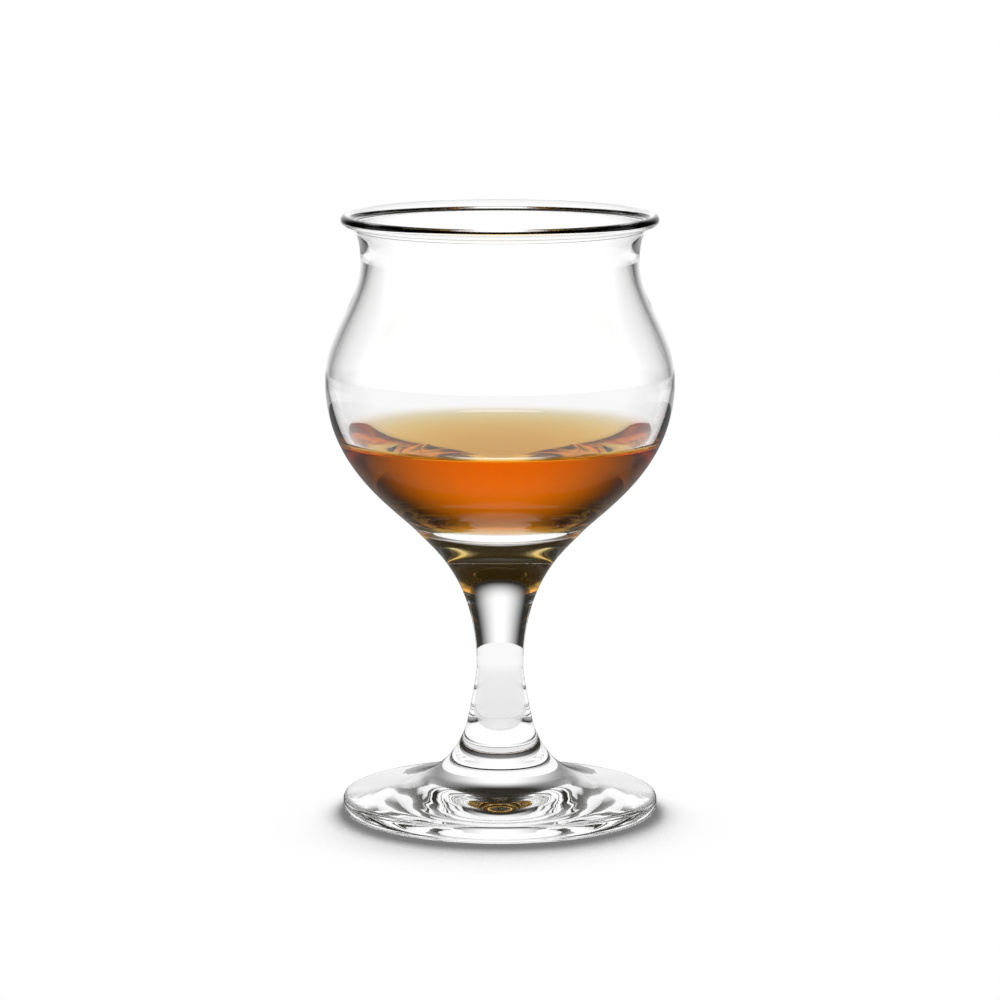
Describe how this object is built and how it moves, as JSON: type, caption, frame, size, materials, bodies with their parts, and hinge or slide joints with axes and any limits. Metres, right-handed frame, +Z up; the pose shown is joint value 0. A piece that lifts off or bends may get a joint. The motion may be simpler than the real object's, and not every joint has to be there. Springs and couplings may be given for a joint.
{
  "type": "cognac glass",
  "caption": "Stemmed cognac glass in clear glass: tulip bowl with a turned-out lip on a waisted stem and a round foot, holding a measure of amber drink that swirls in the bowl.",
  "frame": {"origin": "on the table, in the middle of the foot", "axes": "+Z up along the axis of the stem; the glass is round, so X and Y are any two level directions at right angles"},
  "size_m": [0.0694, 0.0694, 0.12],
  "materials": {
    "bowl_glass": "clear colourless blown glass, fire-polished lip",
    "stem_glass": "clear colourless solid glass",
    "foot_glass": "clear colourless glass, faintly rippled",
    "drink": "clear amber liquid"
  },
  "bodies": {
    "glass": {"bowl": "bowl_glass", "stem": "stem_glass", "foot": "foot_glass"},
    "drink": {"drink": "drink"}
  },
  "joints": [
    {"name": "swirl", "type": "hinge", "parent": "glass", "child": "drink", "pos_m": [0, 0, 0.068], "axis": [0, 0, 1], "continuous": true}
  ]
}
